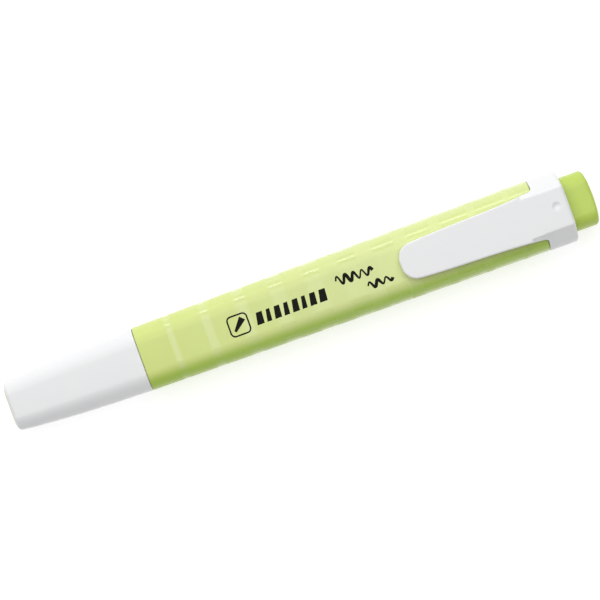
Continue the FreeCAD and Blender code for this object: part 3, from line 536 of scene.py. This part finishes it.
SADDLE_PLACE, SADDLE_NORMAL, ON_OVAL = saddle_outline(RING_HALF, TOP_Z - AXIS_Z, FLAT_HALF)
OVAL_ROUND_RING = flat_oval(len(SADDLE_PLACE), **PEN_SECTION)


def saddle_rings(x, depth):
    """Rings of the saddle outline at stations, moved in by a depth, with the back cut flat there."""
    across = SADDLE_PLACE - depth * SADDLE_NORMAL
    across[:, :, 1] = np.maximum(across[:, :, 1] + AXIS_Z, np.clip(depth[:, :, 0], 0, None))
    return np.concatenate([np.repeat(x[:, None, None], len(SADDLE_PLACE), 1), across], 2)


mouth_x = RING_END - MOUTH_DEPTH
skirt_depth = BARREL_WALL + SKIRT_WALL
inner_half = barrel_half(ring_low.x)
outside = path([(RING_X + LIP_ROUND, 0, 0), (RING_END, 0, RING_ROUND), (RING_END, 1.0 * MM, 0)],
               closed=False, step=0.12 * MM)
turn = np.linspace(0, math.pi / 2, 5)[:-1]
lip_x = RING_X + LIP_ROUND * (1 - np.sin(turn))
lip = saddle_rings(lip_x[::-1], (LIP_ROUND * (1 - np.cos(turn)))[::-1, None, None] * ON_OVAL)
around = np.concatenate([lip, saddle_rings(outside[1:, 0], outside[1:, 1, None, None])])
mouth = rings([RING_END, mouth_x], FRONT_HALF, MOUTH_INSET, OVAL_ROUND_RING)
end_face = around[-1] + np.linspace(0, 1, 6)[1:, None, None] * (mouth[0] - around[-1])
bore = rings([mouth_x, ring_low.x], inner_half, skirt_depth, OVAL_ROUND_RING)
skirt_x = np.array([ring_low.x, RING_X])
skirt_outside = rings(skirt_x, barrel_half(skirt_x), BARREL_WALL, OVAL_ROUND_RING)
ring_grid = np.concatenate([around, end_face, mouth[1:], bore, skirt_outside])
reach = np.hypot(ring_grid[:, :, 0] - GATE_X, ring_grid[:, :, 1] - GATE_Y) / GATE_RADIUS
near_top = ring_grid[:, :, 2] > TOP_Z - 0.3 * MM
ring_grid[:, :, 2] -= GATE_DEPTH * np.clip(1 - reach ** 2, 0, 1) ** GATE_POWER * near_top
clip_ring = mould("clip_ring_saddle", wrap(ring_grid, ends="join"))
fit(clip_ring, white, "barrel", "white_polypropylene", "clip_ring")

# ---------------------------------------------------------------- clip arm
# The arm is a springy tongue of the same white moulding, flush with the ring's flat top. It
# widens from its rounded tip to the ring, where it takes up the facets and flares out, and it
# has a bead under its tip.
ARM_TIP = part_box("clip_arm")[0].x
ARM_DROP = 0.5 * MM
ARM_THICK = 1.5 * MM
ARM_TIP_THICK = 1.25 * MM
ARM_EDGE = 0.35 * MM
ARM_UNDER_EDGE = 0.2 * MM
TIP_RADIUS = 3.3 * MM
ROOT_FLARE = 0.6 * MM
ROOT_END = RING_X + 0.12 * MM
ROOT_SUNK = 0.003 * MM
ARM_STATIONS = np.array([ARM_TIP, RING_X - 13.4 * MM, RING_X - 7.4 * MM, RING_X - 3.4 * MM, RING_X])
ARM_HALVES = np.array([3.6, 4.52, 4.78, 5.05, 5.4]) * MM
FACET_START = RING_X - 3.5 * MM
FACET_RUN = 0.8 * MM
FACET_SLOPE = 1.76
FACET_WALL = 0.5 * MM
BEAD_X = ARM_TIP + 4 * MM
BEAD_LENGTH = 3.2 * MM
BEAD_DROP = 0.6 * MM


def arm_side(points):
    """One side of the arm's plan, from ring to tip: a cubic through its half widths, then an arc.

    The arc starts where the cubic ends and with its slope. Returns points and outward normals.
    """
    cubic = np.polyfit(ARM_STATIONS / MM, ARM_HALVES / MM, 3)
    side_x = np.linspace(ROOT_END, ARM_TIP + TIP_RADIUS, points)
    side_y = np.polyval(cubic, side_x / MM) * MM
    slope = np.polyval(np.polyder(cubic), side_x / MM)
    side_normal = np.stack([-slope, np.ones_like(slope)], 1) / np.hypot(slope, 1)[:, None]
    lean = math.atan2(side_normal[-1, 1], side_normal[-1, 0])
    turn = np.linspace(lean, math.pi, 26)[1:]
    arc_normal = np.stack([np.cos(turn), np.sin(turn)], 1)
    centre = np.array([side_x[-1], side_y[-1]]) - TIP_RADIUS * side_normal[-1]
    return (np.concatenate([np.stack([side_x, side_y], 1), centre + TIP_RADIUS * arc_normal]),
            np.concatenate([side_normal, arc_normal]))


half_plan, half_normal = arm_side(130)
plan = np.concatenate([half_plan, half_plan[::-1] * [1, -1]])
plan_normal = np.concatenate([half_normal, half_normal[::-1] * [1, -1]])
spine = np.stack([np.clip(plan[:, 0], ARM_TIP + TIP_RADIUS, None), np.zeros(len(plan))], 1)


def arm_top(x, y):
    """Height of the arm's outer face: a straight fall from ring to tip, less the ring's facets.

    Where the arm's root lies over the ring it is sunk by a hair, so that the ring's face shows.
    """
    fall = ARM_DROP * np.clip((RING_X - x) / (RING_X - ARM_TIP), 0, 1)
    run = np.clip((x - FACET_START) / FACET_RUN, 0, 1)
    facet = run ** 2 * (3 - 2 * run) * FACET_SLOPE * np.clip(np.abs(y) - FLAT_HALF, 0, None)
    return TOP_Z - fall - facet - ROOT_SUNK * (x > RING_X)


def arm_row(inset, shrink, level, below):
    """One row round the arm: its plan moved in by inset and shrunk to its spine.

    level is the row's share of the way down from the top to the underside, and below is a height
    added to that. The plan flares out by an arc where it meets the ring. The underside has a bead
    with a raised cosine section, and keeps a least wall under the facets.
    """
    x, y = (spine + (plan - inset * plan_normal - spine) * shrink).T
    run = np.clip((x - RING_X) / ROOT_FLARE + 1, 0, 1)
    y = y + np.sign(plan[:, 1]) * ROOT_FLARE * (1 - np.sqrt(1 - run ** 2)) * shrink
    top = arm_top(x, y)
    thick = np.interp(x, [ARM_TIP, RING_X], [ARM_TIP_THICK, ARM_THICK])
    bead = BEAD_DROP * np.cos(np.clip((x - BEAD_X) / BEAD_LENGTH, -0.5, 0.5) * math.pi) ** 2
    under = np.minimum(arm_top(x, np.zeros(len(x))) - thick - bead, top - FACET_WALL)
    return np.stack([x, y, top * (1 - level) + under * level + below], 1)


top_shrinks = np.concatenate([[0.3, 0.6], np.linspace(0.74, 1, 14)])
rows = [arm_row(ARM_EDGE, shrink, 0, 0) for shrink in top_shrinks]
for turn in np.linspace(0, math.pi / 2, 7)[1:]:
    rows.append(arm_row(ARM_EDGE * (1 - math.sin(turn)), 1, 0, -ARM_EDGE * (1 - math.cos(turn))))
for turn in np.linspace(0, math.pi / 2, 5):
    rows.append(arm_row(ARM_UNDER_EDGE * (1 - math.cos(turn)), 1, 1, ARM_UNDER_EDGE * (1 - math.sin(turn))))
rows += [arm_row(ARM_UNDER_EDGE, shrink, 1, 0) for shrink in np.linspace(1, 0, 9)[1:-1]]
clip_arm = mould("clip_arm_tongue", wrap(np.array(rows), ends="strip"))
clip_arm.data.materials.append(white)
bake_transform(clip_arm)
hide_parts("clip_arm")

# ---------------------------------------------------------------- rear plug
# The rear plug is lime polypropylene, pressed into the ring to shut the pen and to show the ink's
# colour. Its post is about as wide as the nose's neck and has a bulged end. A pin inside holds
# the reservoir.
plug_low, plug_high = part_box("rear_plug")
POST_INSET = 0.95 * MM
POST_BULGE = 0.52 * MM
POST_ROUND = 0.7 * MM
SPIGOT_WALL = 1.0 * MM
SPIGOT_LENGTH = 8.5 * MM
PIN_RADIUS = 1.8 * MM
spigot_end = mouth_x - SPIGOT_LENGTH
post = path([(mouth_x, 0, 0), (plug_high.x, 0, POST_ROUND), (plug_high.x, 1.0 * MM, 0)], closed=False,
            step=0.3 * MM)
post_rows = rings(post[:, 0], FRONT_HALF, POST_INSET + post[:, 1])
inwards = np.linspace(1, 0, 12)[1:-1, None, None]
end_rows = (post_rows[-1] - [0, 0, AXIS_Z]) * (inwards * [0, 1, 1] + [1, 0, 0]) + [0, 0, AXIS_Z]
post_rows = np.concatenate([post_rows, end_rows])
swell = np.clip((post_rows[:, :, 0] - RING_END) / (plug_high.x - RING_END), 0, 1) ** 2
post_rows[:, :, 0] -= swell * POST_BULGE * (post_rows[:, :, 1] / (FRONT_HALF - POST_INSET)) ** 2
inside = rings([mouth_x, mouth_x, spigot_end, spigot_end, mouth_x],
               [FRONT_HALF, inner_half, inner_half, inner_half, inner_half],
               [POST_INSET, skirt_depth, skirt_depth, skirt_depth + SPIGOT_WALL, skirt_depth + SPIGOT_WALL])
pin = rings([mouth_x, plug_low.x], 0, -PIN_RADIUS)
plug = mould("rear_plug_post", wrap(np.concatenate([pin[::-1], inside[:0:-1], post_rows])))

# Polypropylene in the ink's lime. Its even satin skin shows one broad sheen on each rounded edge.
lime, shader, place = start_material("polypropylene_lime")
patch = add(shader, "TexNoise", {"Vector": place, "Scale": 1 / (4 * MM)})
rough = add(shader, "MapRange", {0: patch, 1: 0.3, 2: 0.7, 3: 0.36, 4: 0.43})
tone = add(shader, "Mix", {0: patch, 6: linear("#C0D85C"), 7: linear("#C8DF68")}, 2, data_type="RGBA")
grain = add(shader, "TexNoise", {"Vector": place, "Scale": 1 / (0.18 * MM)})
grain = add(shader, "Bump", {"Height": grain, "Strength": 0.5, "Distance": 0.004 * MM})
dress(shader, Base_Color=tone, Roughness=rough, IOR=1.49, Normal=grain)
fit(plug, lime, "barrel", "lime_polypropylene", "rear_plug")

# ---------------------------------------------------------------- cap insert
# The insert is lime polypropylene: an oval plate that shuts the cap's end and shows the colour
# there, and a tube behind it that seals round the nose. It is pressed in from the cap's mouth.
insert_low, insert_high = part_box("cap_insert")
cap_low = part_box("cap_shell")[0]
CAP_WALL = 0.9 * MM
PLATE_INSET = CAP_WALL + 0.05 * MM
PLATE_THICK = 3.0 * MM
PLATE_ROUND = 0.3 * MM
SEAL_LENGTH = 6.0 * MM
SEAL_STEP = 0.4 * MM
SEAL_RADIUS, SEAL_BORE = 3.7 * MM, 3.05 * MM
TUBE_RADIUS, TUBE_BORE = 3.25 * MM, 2.75 * MM
TUBE_ROUND = 0.15 * MM
end_half = cap_half(cap_low.x)
plate_back = insert_low.x + PLATE_THICK
seal_start = insert_high.x - SEAL_LENGTH
plate = path([(insert_low.x, 1.2 * MM, 0), (insert_low.x, 0, PLATE_ROUND), (plate_back, 0, 0)],
             closed=False, step=0.3 * MM)
plate_rows = rings(plate[:, 0], end_half, PLATE_INSET + plate[:, 1])
outwards = np.linspace(0, 1, 10)[1:-1, None, None]
middle_rows = (plate_rows[0] - [0, 0, AXIS_Z]) * (outwards * [0, 1, 1] + [1, 0, 0]) + [0, 0, AXIS_Z]
tube = path([(plate_back, TUBE_RADIUS, 0), (seal_start, SEAL_RADIUS, 0),
             (insert_high.x, SEAL_RADIUS, TUBE_ROUND), (insert_high.x, SEAL_BORE, TUBE_ROUND),
             (seal_start, SEAL_BORE, 0), (seal_start - SEAL_STEP, TUBE_BORE, 0),
             (plate_back, TUBE_BORE, 0), (plate_back, 0.3 * MM, 0)], closed=False)
tube_rows = rings(tube[:, 0], 0, -tube[:, 1])
insert = mould("cap_insert_plate", wrap(np.concatenate([middle_rows, plate_rows, tube_rows])))
fit(insert, lime, "cap", "lime_polypropylene", "cap_insert")

# ---------------------------------------------------------------- cap
# The cap is a thin white polypropylene tube that narrows ever faster to its rounded end. It is
# pushed over the nose until it meets the barrel, flush all round, with only a hairline between.
# Its rounded end stops just short of the insert's plate, which shows there as a thin line.
CAP_ROUND = 0.7 * MM
CAP_END = cap_low.x - 0.22 * MM
shell = path([(JOINT_X - HAIRLINE, 0, LIP_ROUND), (CAP_END, 0, CAP_ROUND), (CAP_END, CAP_WALL, 0.1 * MM),
              (JOINT_X - HAIRLINE, CAP_WALL, 0)], step=0.6 * MM)
cap = mould("cap", wrap(rings(shell[:, 0], cap_half(shell[:, 0]), shell[:, 1]), ends="join"))
fit(cap, white, "cap", "white_polypropylene", "cap_shell")

# ---------------------------------------------------------------- stage
# A plain pale table that glows a little like a lit sweep, with the camera straight above. A broad
# soft lamp hangs overhead, a little to the +Y side, and a low strip lamp stands further out there.
TURN = math.radians(19.95)
VIEW_WIDTH = 127.24 * MM
LENS = 200
SENSOR = 36
VIEW_ACROSS, VIEW_UP = -0.24, 0.34
FLOOR_TONE = (0.5, 0.5, 0.5, 1)
FLOOR_GLOW = 0.68
WORLD_LIGHT = 0.24
WHITE = (1, 1, 1, 1)
floor_mesh = bpy.data.meshes.new("floor")
floor_mesh.from_pydata([(-1, -1, 0), (1, -1, 0), (1, 1, 0), (-1, 1, 0)], [], [(0, 1, 2, 3)])
floor = bpy.data.objects.new("floor", floor_mesh)
bpy.context.scene.collection.objects.link(floor)
paper, shader, place = start_material("floor_white")
dress(shader, Base_Color=FLOOR_TONE, Roughness=1.0, Emission_Color=WHITE, Emission_Strength=FLOOR_GLOW)
floor.data.materials.append(paper)

camera_data = bpy.data.cameras.new("camera")
camera_data.lens = LENS
camera_data.sensor_width = SENSOR
camera = bpy.data.objects.new("camera", camera_data)
bpy.context.scene.collection.objects.link(camera)
right = np.array([math.cos(TURN), -math.sin(TURN)])
up = np.array([math.sin(TURN), math.cos(TURN)])
centre = (VIEW_ACROSS * right + VIEW_UP * up) * MM
camera.location = (centre[0], centre[1], AXIS_Z + VIEW_WIDTH * LENS / SENSOR)
camera.rotation_euler = (0, 0, -TURN)
bpy.context.scene.camera = camera

world = bpy.data.worlds.new("studio")
world.use_nodes = True
sky = world.node_tree.nodes["Background"]
sky.inputs["Color"].default_value = WHITE
sky.inputs["Strength"].default_value = WORLD_LIGHT
bpy.context.scene.world = world


def lamp(name, place, size, energy):
    """A soft rectangular lamp at a place, turned to face the pen and unseen by the camera."""
    data = bpy.data.lights.new(name, "AREA")
    data.shape = "RECTANGLE"
    data.size, data.size_y = size
    data.energy = energy
    made = bpy.data.objects.new(name, data)
    bpy.context.scene.collection.objects.link(made)
    made.location = place
    made.rotation_euler = (-math.atan2(place[1], place[2]), 0, 0)
    made.visible_camera = False


lamp("overhead", (0.0, 0.18, 0.58), (0.9, 0.5), 2.95)
lamp("strip", (-0.03, 0.46, 0.22), (0.3, 0.08), 0.52)
bpy.context.scene.view_settings.view_transform = "Standard"
